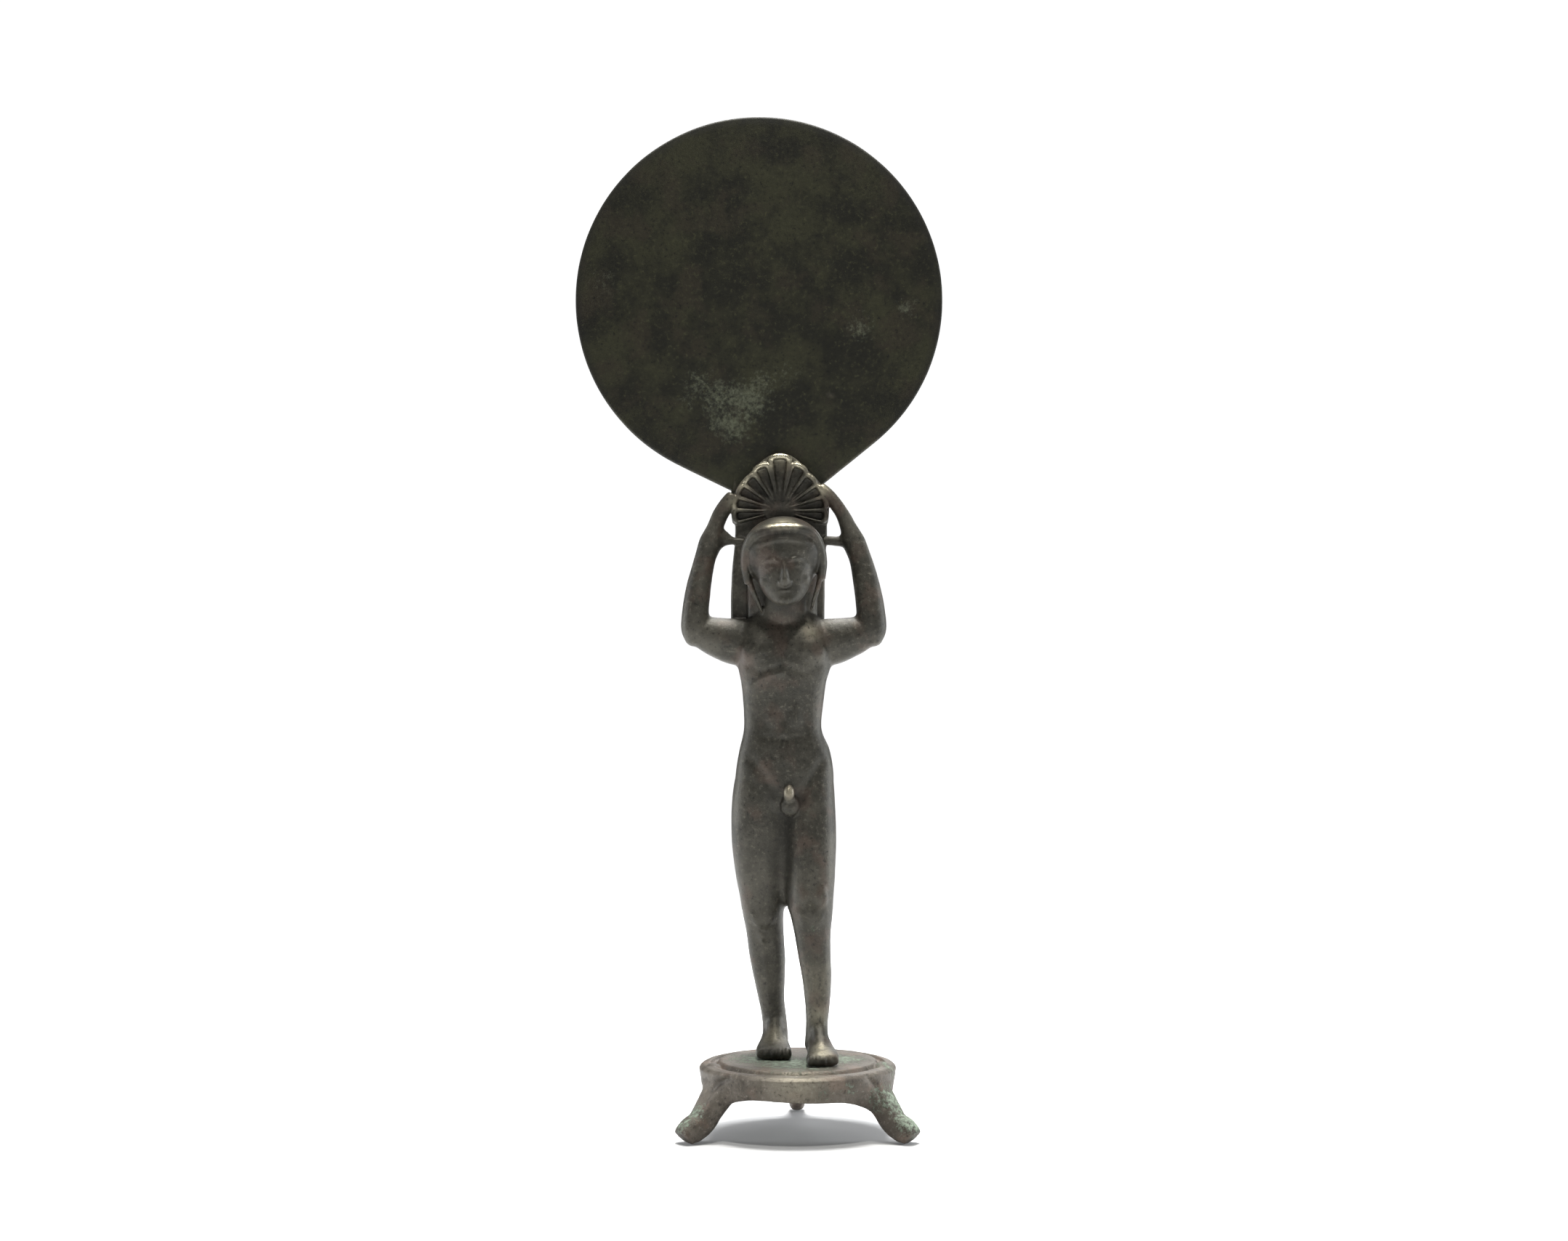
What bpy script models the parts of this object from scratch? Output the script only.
"""Bronze mirror carried by a standing youth.

Three castings: a thin disc with a short tang, a youth who holds up the palmette in front of it,
and a round stand on three splayed legs. Metres, +Z up, and the youth faces -Y.

The stand and the disc have sizes of their own. The youth is sculpted in figure units, 180 of
which make his height, so his pose and proportions stay the same at any height.
"""

import math

import bmesh
import bpy
import numpy as np
from mathutils import Matrix, Vector

# Stand
STAND_HEIGHT = 0.0242
PLATE_RADIUS = 0.0328
PLATE_THICKNESS = 0.0034
PLATE_EDGE_DROP = 0.0024
FIELD_RADIUS = 0.0262
CHANNEL_WIDTH = 0.0032
CHANNEL_DEPTH = 0.0012
SKIRT_DEPTH = 0.0060
SKIRT_WALL = 0.0036
SKIRT_INSET = 0.0012
LEG_COUNT = 3
LEG_GIRTHS = (0.86, 1.10, 0.97)
HIP_WIDTH = 0.0168
HIP_THICKNESS = 0.0074
SHIN_WIDTH = 0.0102
SHIN_THICKNESS = 0.0074
FOOT_REACH = 0.0462
FOOT_WIDTH = 0.0076
FOOT_THICKNESS = 0.0048
SOLE_LENGTH = 0.0046

# Youth
FIGURE_HEIGHT = 0.1800
UNITS_IN_HEIGHT = 180.0
FIGURE_SHIFT_X = -0.0046
PALMETTE_THICKNESS = 0.0030
PETAL_COUNT = 11
PETAL_SPREAD = math.radians(95.0)
PALMETTE_TOP_RADIUS = 0.0193
PALMETTE_SIDE_RADIUS = 0.0158

# Mirror disc
DISC_RADIUS = 0.0616
DISC_THICKNESS = 0.0018
DISC_DOME = 0.0007
DISC_SHIFT_X = -0.0083
DISC_OVERLAP = 0.0100
TANG_WIDTH = 0.0309
TANG_SHIFT_X = -0.0022
TANG_FLARE_LEFT = math.radians(26.0)
TANG_FLARE_RIGHT = math.radians(39.0)

# Fits between the castings
SEAT_GAP = 0.0003

# Fineness of the sculpted surfaces
FIGURE_VOXEL = 0.00055
STAND_VOXEL = 0.00055
FIGURE_TRIANGLES = 6400
STAND_TRIANGLES = 2200
DISC_SIDES = 90
RING_SIDES = 40

UNIT = FIGURE_HEIGHT / UNITS_IN_HEIGHT
SOLE_Z = STAND_HEIGHT + SEAT_GAP

# Depths of the upper parts, in figure units behind the stand's axis
PALMETTE_BACK_Y = 10.2
SLAB_BACK_Y = PALMETTE_BACK_Y + (DISC_THICKNESS + SEAT_GAP) / UNIT + 0.9
SLAB_TOP_Z = 184.0
FAN_CENTRE = Vector((-1.2, PALMETTE_BACK_Y, 181.7))


def clear_scene():
    for old in list(bpy.data.objects):
        bpy.data.objects.remove(old)


def bronze(name, colour, roughness, metallic):
    material = bpy.data.materials.new(name)
    material.use_nodes = True
    shader = material.node_tree.nodes["Principled BSDF"]
    shader.inputs["Base Color"].default_value = (*colour, 1.0)
    shader.inputs["Roughness"].default_value = roughness
    shader.inputs["Metallic"].default_value = metallic
    return material


# Clay: closed shapes that are laid over each other and then fused


def loft(clay, rings):
    """A closed skin over rings of points, which all have the same count."""
    rows = [[clay.verts.new(point) for point in ring] for ring in rings]
    for low, high in zip(rows, rows[1:]):
        for i in range(len(low)):
            j = (i + 1) % len(low)
            clay.faces.new((low[i], low[j], high[j], high[i]))
    clay.faces.new(list(reversed(rows[0])))
    clay.faces.new(rows[-1])


def power(value, exponent):
    return math.copysign(abs(value) ** exponent, value)


def body_ring(z, x, half_width, y, front, back, squareness):
    """A level section, flatter than an ellipse where squareness is over 2."""
    ring = []
    for i in range(RING_SIDES):
        angle = 2 * math.pi * i / RING_SIDES
        depth = back if math.sin(angle) > 0 else front
        across = half_width * power(math.cos(angle), 2 / squareness)
        along = depth * power(math.sin(angle), 2 / squareness)
        ring.append(Vector((x + across, y + along, z)))
    return ring


def smooth_rows(rows, between=3):
    """Catmull-Rom rows through the given rows of numbers, with some added between each two."""
    given = [np.array(row, float) for row in rows]
    given = [given[0], *given, given[-1]]
    found = []
    for a, b, c, d in zip(given, given[1:], given[2:], given[3:]):
        for step in range(between):
            t = step / between
            bend = (2 * a - 5 * b + 4 * c - d) * t * t + (3 * b - a - 3 * c + d) * t ** 3
            found.append(0.5 * (2 * b + (c - a) * t + bend))
    found.append(given[-1])
    return found


def body(clay, rows):
    loft(clay, [body_ring(*row) for row in smooth_rows(rows)])


def limb(clay, rows, sideways=Vector((0, 1, 0))):
    """A tube through rows of x, y, z, radius in the limb's own plane and radius along sideways."""
    rows = smooth_rows(rows)
    rings = []
    for index, row in enumerate(rows):
        before = Vector(rows[max(index - 1, 0)][:3])
        after = Vector(rows[min(index + 1, len(rows) - 1)][:3])
        forward = (after - before).normalized()
        across = forward.cross(sideways).normalized()
        third = across.cross(forward)
        ring = []
        for i in range(RING_SIDES // 2):
            angle = 4 * math.pi * i / RING_SIDES
            offset = across * row[3] * math.cos(angle) + third * row[4] * math.sin(angle)
            ring.append(Vector(row[:3]) + offset)
        rings.append(ring)
    loft(clay, rings)


def lump(clay, centre, radii):
    place = Matrix.Translation(centre) @ Matrix.Diagonal((*radii, 1))
    bmesh.ops.create_icosphere(clay, subdivisions=3, radius=1, matrix=place)


def fused_mesh(clay, name, voxel, smoothing):
    """One skin around all the clay, from small cubes, with its seams softened."""
    bmesh.ops.recalc_face_normals(clay, faces=clay.faces)
    mesh = bpy.data.meshes.new(name)
    clay.to_mesh(mesh)
    clay.free()
    work = bpy.data.objects.new(name + "_work", mesh)
    bpy.context.scene.collection.objects.link(work)
    skin = work.modifiers.new("skin", "REMESH")
    skin.mode = "VOXEL"
    skin.voxel_size = voxel
    soften = work.modifiers.new("soften", "SMOOTH")
    soften.factor = 0.5
    soften.iterations = smoothing
    return taken_from(work, name)


def taken_from(work, name):
    """The evaluated mesh of a working object, which is then removed."""
    graph = bpy.context.evaluated_depsgraph_get()
    mesh = bpy.data.meshes.new_from_object(work.evaluated_get(graph), depsgraph=graph)
    mesh.name = name
    bpy.data.objects.remove(work)
    return mesh


def thinned(mesh, name, triangles):
    """The mesh with its flat places in fewer, larger triangles."""
    work = bpy.data.objects.new(name + "_work", mesh)
    bpy.context.scene.collection.objects.link(work)
    thin = work.modifiers.new("thin", "DECIMATE")
    thin.use_collapse_triangulate = True
    thin.ratio = min(1.0, triangles / (2 * len(mesh.polygons)))
    return taken_from(work, name)


def cut_flat_below(mesh, height):
    """Cuts away what is below a level and closes the cut with flat faces."""
    shape = bmesh.new()
    shape.from_mesh(mesh)
    geometry = shape.verts[:] + shape.edges[:] + shape.faces[:]
    cut = bmesh.ops.bisect_plane(
        shape,
        geom=geometry,
        dist=1e-6,
        plane_co=(0, 0, height),
        plane_no=(0, 0, 1),
        clear_inner=True,
    )
    edges = [e for e in cut["geom_cut"] if isinstance(e, bmesh.types.BMEdge)]
    bmesh.ops.holes_fill(shape, edges=edges, sides=0)
    bmesh.ops.triangulate(shape, faces=shape.faces)
    bmesh.ops.recalc_face_normals(shape, faces=shape.faces)
    shape.to_mesh(mesh)
    shape.free()


def distance_to_line(points, line):
    """How far each point lies from a bent line, in the plane of the picture."""
    nearest = np.full(len(points), np.inf)
    for start, end in zip(line, line[1:]):
        start = np.array(start, float)
        along = np.array(end, float) - start
        share = np.clip((points - start) @ along / (along @ along), 0, 1)
        gap = np.linalg.norm(points - start - share[:, None] * along, axis=1)
        nearest = np.minimum(nearest, gap)
    return nearest


def chase(mesh, strokes):
    """Sinks or raises the skin along lines. A stroke is a side (-1 front, 1 back), a line of
    x and z in figure units, a half width and a depth, which is negative for a ridge."""
    count = len(mesh.vertices)
    places = np.empty(count * 3)
    normals = np.empty(count * 3)
    mesh.vertices.foreach_get("co", places)
    mesh.vertices.foreach_get("normal", normals)
    places = places.reshape(-1, 3)
    normals = normals.reshape(-1, 3)
    moved = np.zeros(count)
    for side, line, half_width, depth in strokes:
        facing = np.clip(normals[:, 1] * side * 2, 0, 1)
        gap = distance_to_line(places[:, [0, 2]], line)
        moved -= facing * depth * np.exp(-((gap / half_width) ** 2))
    places += normals * moved[:, None]
    mesh.vertices.foreach_set("co", places.ravel())
    mesh.update()


# The youth, in figure units: x from his own axis, y behind the stand's axis, z above his soles


def mirrored(rows):
    return [(-row[0], *row[1:]) for row in rows]


def legs(clay):
    """The image's left leg stands back and its right one is set forward."""
    back_leg = [
        (4.0, -2.6, 4.3, 14.4, 4.2, 4.6, 2.2),
        (11.8, -3.2, 4.2, 14.0, 4.0, 4.2, 2.2),
        (17.6, -4.1, 4.4, 13.4, 4.2, 4.8, 2.2),
        (26.2, -4.9, 5.4, 12.4, 4.8, 6.2, 2.2),
        (32.0, -5.4, 6.0, 11.4, 5.2, 7.0, 2.2),
        (37.8, -6.0, 6.2, 10.4, 5.4, 6.9, 2.2),
        (42.0, -6.4, 6.4, 9.6, 5.9, 6.1, 2.2),
        (47.2, -6.9, 6.9, 8.9, 7.0, 5.9, 2.2),
        (53.0, -6.9, 7.8, 8.5, 7.2, 6.6, 2.2),
        (60.9, -7.6, 8.6, 8.0, 8.0, 7.8, 2.2),
        (72.5, -8.1, 9.3, 7.3, 8.7, 8.8, 2.2),
        (84.1, -8.3, 9.0, 6.6, 8.5, 9.0, 2.2),
        (92.0, -7.7, 8.6, 6.2, 7.6, 8.0, 2.2),
        (99.0, -6.4, 7.6, 6.2, 5.6, 6.4, 2.2),
    ]
    front_leg = [
        (4.0, 10.8, 4.0, -1.2, 4.2, 4.4, 2.2),
        (11.8, 11.0, 3.7, -0.8, 3.9, 4.0, 2.2),
        (17.6, 11.2, 4.1, -0.3, 4.2, 4.6, 2.2),
        (26.2, 11.0, 4.9, 0.2, 4.8, 6.0, 2.2),
        (32.0, 10.4, 5.3, 0.4, 5.2, 6.8, 2.2),
        (37.8, 9.8, 5.7, 0.5, 5.4, 6.8, 2.2),
        (42.0, 9.5, 6.2, 0.7, 5.9, 6.1, 2.2),
        (47.2, 9.2, 7.0, 0.9, 7.0, 5.9, 2.2),
        (53.0, 8.5, 8.0, 1.5, 7.3, 6.6, 2.2),
        (60.9, 8.6, 8.5, 2.6, 8.0, 7.8, 2.2),
        (72.5, 8.5, 9.0, 4.0, 8.7, 8.8, 2.2),
        (84.1, 8.3, 8.8, 5.2, 8.3, 9.0, 2.2),
        (92.0, 7.9, 8.6, 5.8, 7.6, 8.0, 2.2),
        (99.0, 6.6, 7.6, 6.0, 5.6, 6.4, 2.2),
    ]
    body(clay, back_leg)
    body(clay, front_leg)
    for knee_x, knee_y in ((-6.8, 2.6), (9.1, -5.5)):
        lump(clay, (knee_x, knee_y, 47.4), (2.9, 1.5, 3.2))
        lump(clay, (knee_x, knee_y + 1.3, 53.2), (4.4, 1.9, 4.0))


def foot(clay, heel, toe, ball_half_width):
    """A foot on a flat sole, from heel to toe as points of x and y, with five toes."""
    heel = Vector((*heel, 0))
    toe = Vector((*toe, 0))
    forward = (toe - heel).normalized()
    across = Vector((-forward.y, forward.x, 0))
    rings = []
    shares = [
        (0.00, 0.44, 4.6),
        (0.08, 0.64, 7.4),
        (0.22, 0.72, 10.0),
        (0.38, 0.76, 9.4),
        (0.55, 0.84, 7.0),
        (0.72, 0.97, 5.0),
        (0.86, 1.00, 3.9),
        (0.95, 0.92, 3.2),
    ]
    for share, width_share, height in smooth_rows(shares):
        middle = heel.lerp(toe, float(share))
        ring = []
        for i in range(RING_SIDES):
            angle = 2 * math.pi * i / RING_SIDES
            side = ball_half_width * width_share * power(math.cos(angle), 2 / 2.8)
            up = height / 2 * power(math.sin(angle), 2 / 2.8)
            ring.append(middle + across * side + Vector((0, 0, height / 2 + up - 0.4)))
        rings.append(ring)
    loft(clay, rings)
    toe_count = 5
    for index in range(toe_count):
        place = index / (toe_count - 1) * 2 - 1
        tip = toe - forward * (1.3 + 1.2 * place * place)
        centre = tip + across * place * ball_half_width * 0.76 + Vector((0, 0, 1.5))
        lump(clay, centre, (1.35, 2.0, 1.55))


def torso(clay):
    body(
        clay,
        [
            (79.0, 0.3, 10.0, 6.0, 4.0, 6.0, 2.0),
            (84.0, 0.1, 15.6, 6.0, 7.6, 9.0, 2.2),
            (92.7, 0.3, 16.4, 6.0, 8.7, 10.2, 2.4),
            (101.4, 0.3, 15.2, 6.0, 8.5, 8.6, 2.4),
            (107.2, -0.2, 13.3, 6.0, 8.0, 7.3, 2.4),
            (111.5, -0.3, 12.9, 6.0, 7.8, 6.9, 2.4),
            (118.8, -0.1, 13.5, 5.8, 8.3, 7.2, 2.4),
            (124.6, 0.0, 14.2, 5.6, 8.9, 8.0, 2.5),
            (130.3, 0.2, 15.6, 5.5, 9.4, 8.6, 2.6),
            (137.0, 0.0, 16.4, 5.5, 9.2, 8.8, 2.6),
            (142.0, 0.0, 15.6, 5.8, 7.8, 7.8, 2.4),
            (145.4, 0.0, 12.6, 6.2, 6.0, 6.0, 2.2),
            (149.0, 0.0, 8.0, 6.0, 5.2, 5.2, 2.0),
        ],
    )
    for side in (-1, 1):
        lump(clay, (side * 7.5, 10.6, 87.4), (8.0, 6.9, 11.0))
        lump(clay, (side * 7.0, -0.4, 134.2), (7.2, 3.5, 6.0))
        lump(clay, (side * 7.6, 12.0, 135.0), (5.2, 2.2, 7.0))
    lump(clay, (1.3, -1.8, 84.2), (3.5, 2.9, 3.4))
    lump(clay, (1.2, -3.6, 88.0), (2.2, 2.1, 2.4))


def arms(clay):
    """Each arm goes out level, folds at the elbow and rises to the edge of the palmette."""
    upper = [
        (-9.0, 6.0, 137.6, 7.4, 6.4),
        (-15.5, 6.0, 138.0, 7.9, 6.4),
        (-22.0, 5.3, 139.5, 6.8, 5.4),
        (-26.8, 4.8, 141.2, 5.6, 4.7),
        (-29.6, 4.6, 142.4, 4.2, 4.0),
    ]
    left_lower = [
        (-28.6, 4.5, 137.6, 3.4, 3.4),
        (-29.3, 4.5, 142.0, 4.9, 4.6),
        (-29.4, 4.6, 148.0, 4.5, 4.6),
        (-28.7, 5.1, 154.0, 4.3, 4.4),
        (-27.6, 5.9, 160.0, 3.9, 4.0),
        (-26.2, 6.8, 166.0, 3.6, 3.5),
        (-24.4, 7.6, 171.4, 3.9, 3.1),
        (-22.5, 8.1, 176.0, 3.5, 2.7),
        (-20.9, 8.4, 180.4, 3.1, 2.5),
        (-18.9, 8.5, 184.2, 2.6, 2.4),
        (-16.8, 8.5, 187.4, 2.0, 2.1),
    ]
    right_lower = [
        (28.6, 4.5, 137.6, 3.4, 3.4),
        (29.3, 4.5, 142.0, 4.9, 4.6),
        (29.0, 4.6, 148.0, 4.8, 4.6),
        (28.2, 5.1, 154.0, 4.6, 4.4),
        (27.0, 5.9, 160.0, 4.2, 4.0),
        (25.5, 6.8, 166.0, 3.8, 3.5),
        (23.4, 7.6, 171.4, 3.9, 3.1),
        (21.3, 8.1, 176.0, 3.3, 2.7),
        (19.3, 8.4, 180.4, 2.9, 2.5),
        (17.0, 8.5, 184.2, 2.6, 2.4),
        (14.4, 8.5, 187.6, 2.2, 2.2),
        (12.0, 8.6, 190.0, 1.8, 2.0),
    ]
    thumb = [
        (-24.0, 7.8, 170.6, 1.9, 1.8),
        (-20.5, 8.4, 171.8, 1.5, 1.6),
        (-13.0, 9.0, 172.6, 1.4, 1.6),
    ]
    limb(clay, upper)
    limb(clay, mirrored(upper))
    limb(clay, left_lower)
    limb(clay, right_lower)
    limb(clay, thumb)
    limb(clay, mirrored(thumb))


def neck(clay):
    limb(
        clay,
        [(0, 6.0, 142.0, 10.0, 6.5), (0, 4.8, 148.5, 7.8, 6.6), (0, 2.4, 157.0, 7.2, 6.8)],
    )


def slab(clay):
    """The flat mass of hair behind the neck, which rises to carry the tang."""
    front = 7.0
    middle = (SLAB_BACK_Y + front) / 2
    half = (SLAB_BACK_Y - front) / 2
    rows = [
        (137.0, -2.0, 13.5, middle, half, half, 6.0),
        (142.0, -2.0, 15.4, middle, half, half, 6.0),
        (150.0, -2.0, 15.7, middle, half, half, 6.0),
        (160.0, -1.8, 15.6, middle, half, half, 6.0),
        (172.0, -1.1, 15.5, middle, half, half, 6.0),
        (178.0, -0.7, 15.8, middle, half, half, 6.0),
        (SLAB_TOP_Z, -0.8, 15.4, middle, half, half, 6.0),
    ]
    body(clay, rows)


HEAD = Matrix.Translation((0, 0.5, 165)) @ Matrix.Rotation(math.radians(-3.5), 4, "Y")


def head_lump(clay, centre, radii):
    place = HEAD @ Matrix.Translation(centre) @ Matrix.Diagonal((*radii, 1))
    bmesh.ops.create_icosphere(clay, subdivisions=3, radius=1, matrix=place)


def head_tube(clay, rows):
    placed = [(*(HEAD @ Vector(row[:3])), row[3], row[4]) for row in rows]
    limb(clay, placed)


def head(clay):
    """A calm, plain face on the usual thirds: hairline to brow, brow to nose, nose to chin."""
    face = [
        (-14.9, 0, 2.4, -7.6, 2.6, 3.0, 2.0),
        (-13.6, 0, 4.6, -6.5, 4.9, 5.6, 2.1),
        (-11.0, 0, 6.7, -4.5, 7.2, 8.0, 2.2),
        (-8.0, 0, 8.2, -3.0, 8.7, 9.0, 2.2),
        (-4.0, 0, 9.5, -2.0, 9.8, 10.0, 2.2),
        (-0.5, 0, 9.9, -1.5, 10.4, 10.0, 2.2),
        (3.0, 0, 9.7, -1.0, 10.7, 10.0, 2.2),
        (7.0, 0, 9.0, -0.6, 10.4, 10.0, 2.2),
        (11.0, 0, 7.2, -0.4, 8.8, 9.0, 2.0),
    ]
    start = len(clay.verts)
    body(clay, face)
    clay.verts.ensure_lookup_table()
    bmesh.ops.transform(clay, matrix=HEAD, verts=clay.verts[start:])
    head_lump(clay, (0, -10.4, -12.9), (2.7, 1.5, 1.8))
    nose = [
        (0, -11.2, 0.4, 1.0, 1.0),
        (0, -12.2, -3.0, 1.1, 1.4),
        (0, -13.0, -6.0, 1.5, 1.7),
        (0, -12.4, -7.6, 1.5, 1.2),
    ]
    head_tube(clay, nose)
    for side in (-1, 1):
        head_lump(clay, (side * 1.5, -11.9, -7.0), (0.9, 1.1, 0.9))
        head_lump(clay, (side * 4.2, -10.2, -2.3), (2.2, 1.4, 1.2))
    for height, half in ((-9.7, 2.8), (-10.9, 2.4)):
        lip = [
            (-half, -10.7, height + 0.1, 0.35, 0.5),
            (0, -11.5, height, 0.7, 0.8),
            (half, -10.7, height + 0.1, 0.35, 0.5),
        ]
        head_tube(clay, lip)


def hair(clay):
    """A close cap, a thick roll round the face, a thin band below it and a lock at each jaw."""
    head_lump(clay, (0, 0.0, 2.6), (13.4, 11.6, 12.1))
    roll = [
        (-11.2, -2.4, -7.0, 1.9, 2.2),
        (-11.7, -3.4, -1.4, 2.5, 2.8),
        (-10.6, -4.8, 4.6, 2.6, 3.0),
        (-6.6, -6.8, 9.6, 2.5, 3.0),
        (0, -7.9, 11.9, 2.5, 3.0),
        (6.6, -6.8, 9.6, 2.5, 3.0),
        (10.6, -4.8, 4.6, 2.6, 3.0),
        (11.7, -3.4, -1.4, 2.5, 2.8),
        (11.2, -2.4, -7.0, 1.9, 2.2),
    ]
    band = [
        (-9.2, -6.2, 1.6, 0.7, 0.8),
        (-6.4, -9.2, 6.2, 0.8, 0.8),
        (0, -11.0, 8.2, 0.8, 0.8),
        (6.4, -9.2, 6.2, 0.8, 0.8),
        (9.2, -6.2, 1.6, 0.7, 0.8),
    ]
    lock = [
        (-11.0, -2.2, -6.0, 1.2, 1.3),
        (-9.8, -3.0, -10.4, 0.9, 1.1),
        (-8.2, -2.2, -14.8, 0.8, 1.0),
        (-7.6, 0.6, -18.8, 0.8, 1.0),
    ]
    head_tube(clay, roll)
    head_tube(clay, band)
    head_tube(clay, lock)
    head_tube(clay, mirrored(lock))


def petal_reach(angle):
    """How far a petal reaches from the fan's centre: the middle one is the longest."""
    top = PALMETTE_TOP_RADIUS / UNIT
    side = PALMETTE_SIDE_RADIUS / UNIT
    return side + (top - side) * max(0.0, math.cos(angle * 2.2)) ** 2


def palmette(clay):
    """Eleven hollow petals, each a thin plate with a raised rim that rounds its tip."""
    thickness = PALMETTE_THICKNESS / UNIT
    plate_y = -thickness / 2
    rim_y = 0.35 - thickness
    half_step = PETAL_SPREAD / (PETAL_COUNT - 1)
    for index in range(PETAL_COUNT):
        angle = PETAL_SPREAD * (2 * index / (PETAL_COUNT - 1) - 1)
        reach = petal_reach(angle)
        turn = Matrix.Translation(FAN_CENTRE) @ Matrix.Rotation(angle, 4, "Y")
        half_width = (reach - 2.6) * math.tan(half_step)
        outline = [(-0.6, 1.0), (-half_width, reach - half_width)]
        for step in range(1, 6):
            around = math.pi * step / 6
            outline.append(
                (-half_width * math.cos(around), reach - half_width * (1 - math.sin(around)))
            )
        outline += [(half_width, reach - half_width), (0.6, 1.0)]
        rows = []
        for across, out in outline:
            share = out / reach
            spot = turn @ Vector((across, rim_y, out))
            rows.append((*spot, 0.36 + 0.34 * share, 0.5 + 0.4 * share))
        limb(clay, rows)
        front = [turn @ Vector((across, plate_y - 0.45 * thickness, out)) for across, out in outline]
        back = [turn @ Vector((across, 0, out)) for across, out in outline]
        loft(clay, [front, back])
    lump(clay, FAN_CENTRE + Vector((0, -thickness * 0.6, -0.6)), (5.0, thickness * 0.5, 3.2))


def rib_arch():
    """The lower edge of the rib cage: a round arch over the belly."""
    points = []
    for step in range(13):
        angle = math.pi * step / 12
        points.append((-0.4 - 12.0 * math.cos(angle), 121.5 + 7.4 * math.sin(angle)))
    return points


def chased_lines():
    """The lines that a chaser cut into the wax of the body."""
    return [
        (-1, rib_arch(), 1.3, 0.50),
        (-1, [(-0.3, 126.0), (-0.2, 112.0)], 1.2, 0.22),
        (-1, [(-7.0, 106.6), (0.6, 105.6), (7.2, 106.8)], 1.2, 0.30),
        (-1, [(-11.6, 98.4), (-6.6, 92.4), (-2.2, 89.6)], 1.3, 0.75),
        (-1, [(12.4, 98.6), (8.0, 92.6), (4.4, 88.8)], 1.3, 0.75),
        (-1, [(-0.2, 143.0), (-0.2, 131.0)], 1.4, 0.35),
        (-1, [(0.2, 79.0), (0.9, 66.0), (0.9, 53.0)], 1.6, 0.70),
        (1, [(-0.3, 138.0), (-0.3, 96.0)], 1.8, 0.90),
        (1, [(-0.3, 95.0), (0.2, 80.0)], 1.5, 1.10),
        (1, [(-7.6, 79.4), (-1.0, 78.4), (7.6, 79.4)], 1.5, 0.60),
    ]


def youth(parent, material):
    flesh = bmesh.new()
    legs(flesh)
    torso(flesh)
    arms(flesh)
    neck(flesh)
    softened = fused_mesh(flesh, "flesh", FIGURE_VOXEL / UNIT, smoothing=9)
    clay = bmesh.new()
    clay.from_mesh(softened)
    bpy.data.meshes.remove(softened)
    foot(clay, (-2.7, 19.2), (-3.6, -4.0), 5.9)
    foot(clay, (10.8, 4.8), (13.3, -17.8), 5.2)
    slab(clay)
    head(clay)
    hair(clay)
    palmette(clay)
    mesh = fused_mesh(clay, "youth_figure", FIGURE_VOXEL / UNIT, smoothing=2)
    chase(mesh, chased_lines())
    mesh = thinned(mesh, "youth_figure", FIGURE_TRIANGLES)
    cut_flat_below(mesh, 0.0)
    mesh.transform(Matrix.Diagonal((UNIT, UNIT, UNIT, 1)))
    place(mesh, "youth_figure", parent, material, Vector((FIGURE_SHIFT_X, 0, SOLE_Z)))


# The mirror disc


def disc_outline():
    """A circle whose lowest stretch runs straight down to the sides of the tang."""
    tang_foot = -DISC_RADIUS - tang_foot_depth()
    start = TANG_FLARE_RIGHT - math.pi / 2
    sweep = 2 * math.pi - TANG_FLARE_RIGHT - TANG_FLARE_LEFT
    points = []
    for step in range(DISC_SIDES + 1):
        angle = start + sweep * step / DISC_SIDES
        points.append((DISC_RADIUS * math.cos(angle), DISC_RADIUS * math.sin(angle)))
    middle = TANG_SHIFT_X - DISC_SHIFT_X
    left = middle - TANG_WIDTH / 2
    right = middle + TANG_WIDTH / 2
    left_run = left + DISC_RADIUS * math.sin(TANG_FLARE_LEFT)
    right_run = DISC_RADIUS * math.sin(TANG_FLARE_RIGHT) - right
    left_shoulder = -DISC_RADIUS * math.cos(TANG_FLARE_LEFT) - left_run * math.tan(TANG_FLARE_LEFT)
    right_shoulder = -DISC_RADIUS * math.cos(TANG_FLARE_RIGHT) - right_run * math.tan(TANG_FLARE_RIGHT)
    points += [(left, left_shoulder), (left, tang_foot), (right, tang_foot), (right, right_shoulder)]
    return points


def tang_foot_depth():
    """How far the tang reaches below the circle, down to the ledge of the slab."""
    fan_top = FAN_CENTRE.z * UNIT + PALMETTE_TOP_RADIUS
    circle_bottom = fan_top - DISC_OVERLAP
    return circle_bottom - (SLAB_TOP_Z * UNIT + SEAT_GAP)


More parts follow.
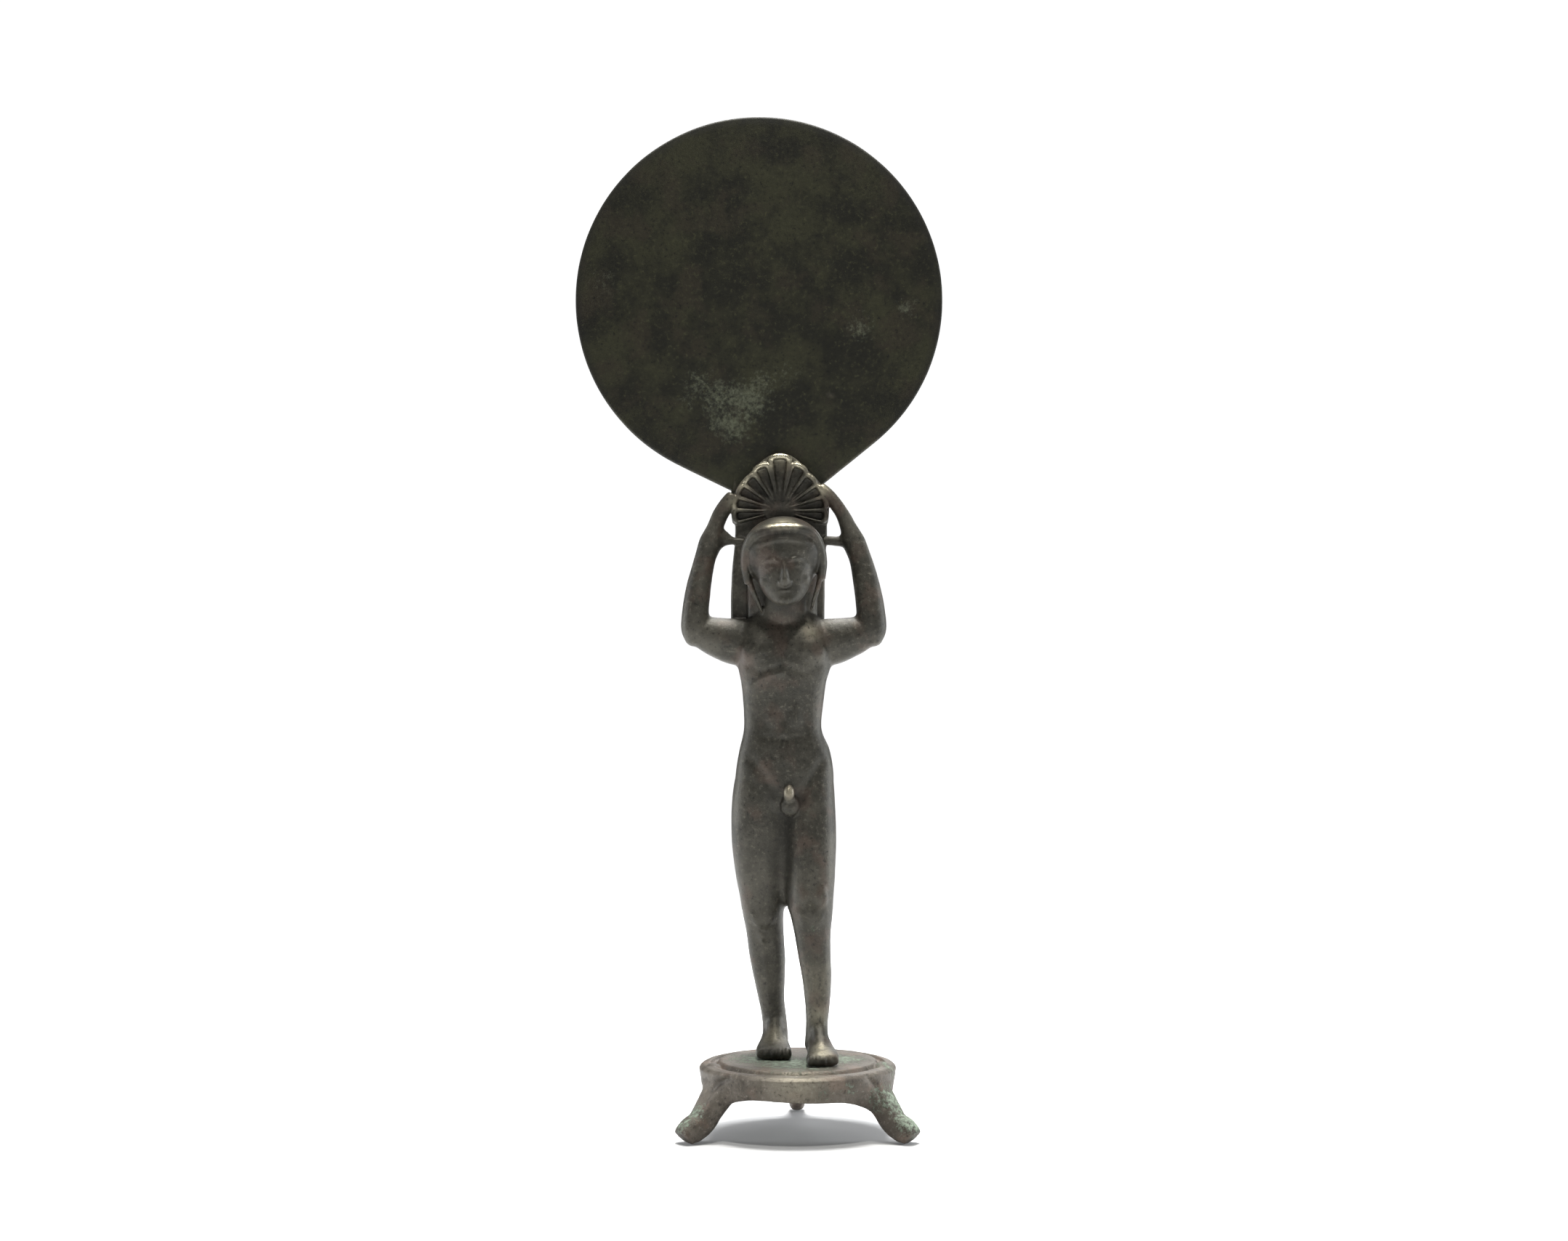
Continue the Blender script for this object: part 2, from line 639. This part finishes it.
def mirror_disc(parent, material):
    """A thin plate, domed a little in front, with softened edges."""
    outline = disc_outline()
    edge = DISC_THICKNESS * 0.3
    half = DISC_THICKNESS / 2
    shape = bmesh.new()
    rows = []
    for share in (0.42, 0.78):
        y = -half - DISC_DOME * (1 - share ** 2)
        ring = []
        for x, z in outline:
            scale = share * DISC_RADIUS / math.hypot(x, z)
            ring.append(shape.verts.new((x * scale, y, z * scale)))
        rows.append(ring)
    for inset, y in ((edge, -half), (0, -half + edge), (0, half - edge), (edge, half)):
        ring = []
        for x, z in outline:
            length = math.hypot(x, z)
            keep = (length - inset) / length
            ring.append(shape.verts.new((x * keep, y, z * keep)))
        rows.append(ring)
    count = len(outline)
    for near, far in zip(rows, rows[1:]):
        for i in range(count):
            j = (i + 1) % count
            shape.faces.new((near[i], near[j], far[j], far[i]))
    crown = shape.verts.new((0, -half - DISC_DOME, 0))
    for i in range(count):
        shape.faces.new((crown, rows[0][(i + 1) % count], rows[0][i]))
    shape.faces.new(rows[-1])
    bmesh.ops.recalc_face_normals(shape, faces=shape.faces)
    mesh = bpy.data.meshes.new("mirror_disc")
    shape.to_mesh(mesh)
    shape.free()
    back_of_palmette = PALMETTE_BACK_Y * UNIT
    fan_top = SOLE_Z + FAN_CENTRE.z * UNIT + PALMETTE_TOP_RADIUS
    centre = Vector(
        (
            FIGURE_SHIFT_X + DISC_SHIFT_X,
            back_of_palmette + SEAT_GAP + DISC_DOME + half,
            fan_top - DISC_OVERLAP + DISC_RADIUS,
        )
    )
    place(mesh, "mirror_disc", parent, material, centre)


# The stand


def turned(clay, profile, sides=72):
    """A closed ring or plate turned from a profile of radius and height."""
    rows = []
    for step in range(sides):
        angle = 2 * math.pi * step / sides
        across = Vector((math.cos(angle), math.sin(angle), 0))
        rows.append([clay.verts.new(across * r + Vector((0, 0, z))) for r, z in profile])
    for step in range(sides):
        here = rows[step]
        after = rows[(step + 1) % sides]
        for i in range(len(profile)):
            j = (i + 1) % len(profile)
            if profile[i][0] > 0 or profile[j][0] > 0:
                clay.faces.new((here[i], here[j], after[j], after[i]))
    bmesh.ops.remove_doubles(clay, verts=clay.verts[:], dist=1e-7)


def plate_profile():
    """From the middle of the top, over the field, the channel and the rim, and back below."""
    top = STAND_HEIGHT
    edge = top - PLATE_EDGE_DROP
    foot = edge - SKIRT_DEPTH
    under = top - PLATE_THICKNESS
    outer = PLATE_RADIUS - SKIRT_INSET
    inner = outer - SKIRT_WALL
    channel = FIELD_RADIUS + CHANNEL_WIDTH / 2
    return [
        (0, top),
        (FIELD_RADIUS - 0.0006, top),
        (FIELD_RADIUS, top - 0.0004),
        (channel - 0.0006, top - CHANNEL_DEPTH),
        (channel + 0.0006, top - CHANNEL_DEPTH),
        (FIELD_RADIUS + CHANNEL_WIDTH, top - CHANNEL_DEPTH * 0.6),
        (PLATE_RADIUS - 0.0012, top - CHANNEL_DEPTH),
        (PLATE_RADIUS, edge),
        (outer, foot + 0.0004),
        (outer - 0.0004, foot),
        (inner + 0.0004, foot),
        (inner, foot + 0.0004),
        (inner, under - 0.0010),
        (inner - 0.0010, under),
        (0, under),
    ]


def leg_rows():
    """The leg in its own upright plane: out, height, half width and half thickness."""
    rim = PLATE_RADIUS - SKIRT_INSET
    top = STAND_HEIGHT - PLATE_EDGE_DROP
    skirt_foot = top - SKIRT_DEPTH
    toe = FOOT_REACH - FOOT_THICKNESS * 0.40
    heel = toe - SOLE_LENGTH
    level = FOOT_THICKNESS * 0.44
    run = heel - rim
    return [
        (rim - 0.0038, top - 0.0012, HIP_WIDTH * 0.38, HIP_THICKNESS * 0.34),
        (rim - 0.0024, top - 0.0038, HIP_WIDTH * 0.50, HIP_THICKNESS * 0.50),
        (rim - 0.0014, skirt_foot - 0.0008, HIP_WIDTH * 0.42, HIP_THICKNESS * 0.52),
        (rim + run * 0.24, skirt_foot * 0.66, SHIN_WIDTH * 0.54, SHIN_THICKNESS * 0.51),
        (rim + run * 0.58, skirt_foot * 0.39, SHIN_WIDTH * 0.47, SHIN_THICKNESS * 0.47),
        (heel, level + 0.0009, FOOT_WIDTH * 0.54, FOOT_THICKNESS * 0.60),
        (toe - SOLE_LENGTH * 0.35, level - 0.0001, FOOT_WIDTH * 0.50, FOOT_THICKNESS * 0.51),
        (toe, level, FOOT_WIDTH * 0.44, FOOT_THICKNESS * 0.46),
    ]


def stand_leg(clay, bearing, girth):
    """A splayed leg that leaves the skirt at a hip and ends in a blunt foot."""
    out = Vector((math.cos(bearing), math.sin(bearing), 0))
    across = Vector((-out.y, out.x, 0))
    rows = smooth_rows(leg_rows())
    rings = []
    for index, row in enumerate(rows):
        before = rows[max(index - 1, 0)]
        after = rows[min(index + 1, len(rows) - 1)]
        forward = out * (after[0] - before[0]) + Vector((0, 0, after[1] - before[1]))
        normal = forward.normalized().cross(across)
        centre = out * row[0] + Vector((0, 0, row[1]))
        ring = []
        for i in range(RING_SIDES):
            angle = 2 * math.pi * i / RING_SIDES
            side = row[2] * girth * power(math.cos(angle), 2 / 2.6)
            thick = row[3] * power(math.sin(angle), 2 / 2.6)
            ring.append(centre + across * side + normal * thick)
        rings.append(ring)
    loft(clay, rings)


def tripod_base(parent, material):
    clay = bmesh.new()
    turned(clay, plate_profile())
    for index in range(LEG_COUNT):
        bearing = math.pi / 2 + 2 * math.pi * index / LEG_COUNT
        stand_leg(clay, bearing, LEG_GIRTHS[index % len(LEG_GIRTHS)])
    mesh = fused_mesh(clay, "tripod_base", STAND_VOXEL, smoothing=3)
    level_field(mesh)
    mesh = thinned(mesh, "tripod_base", STAND_TRIANGLES)
    cut_flat_below(mesh, 0.0)
    place(mesh, "tripod_base", parent, material, Vector((0, 0, 0)))


def level_field(mesh):
    """Brings the field that the youth stands on to its exact height."""
    for vertex in mesh.vertices:
        near_top = abs(vertex.co.z - STAND_HEIGHT) < PLATE_THICKNESS / 3
        if near_top and math.hypot(vertex.co.x, vertex.co.y) < FIELD_RADIUS - 0.001:
            vertex.co.z = STAND_HEIGHT


def place(mesh, name, parent, material, location):
    mesh.name = name
    mesh.materials.clear()
    mesh.materials.append(material)
    mesh.shade_smooth()
    mesh.set_sharp_from_angle(angle=math.radians(40))
    piece = bpy.data.objects.new(name, mesh)
    bpy.context.scene.collection.objects.link(piece)
    piece.parent = parent
    piece.location = location


def centre_over_origin(axis):
    """Moves the stand's axis so that the origin is under the middle of the whole mirror."""
    bpy.context.view_layer.update()
    corners = [piece.matrix_world @ Vector(c) for piece in axis.children for c in piece.bound_box]
    for side in (0, 1):
        low = min(corner[side] for corner in corners)
        high = max(corner[side] for corner in corners)
        axis.location[side] = -(low + high) / 2


def main():
    clear_scene()
    axis = bpy.data.objects.new("stand_axis", None)
    bpy.context.scene.collection.objects.link(axis)
    tripod_base(axis, bronze("stand_bronze", (0.10, 0.085, 0.062), 0.55, 0.6))
    youth(axis, bronze("youth_bronze", (0.075, 0.068, 0.055), 0.50, 0.6))
    mirror_disc(axis, bronze("disc_bronze", (0.035, 0.032, 0.024), 0.45, 0.6))
    centre_over_origin(axis)


main()
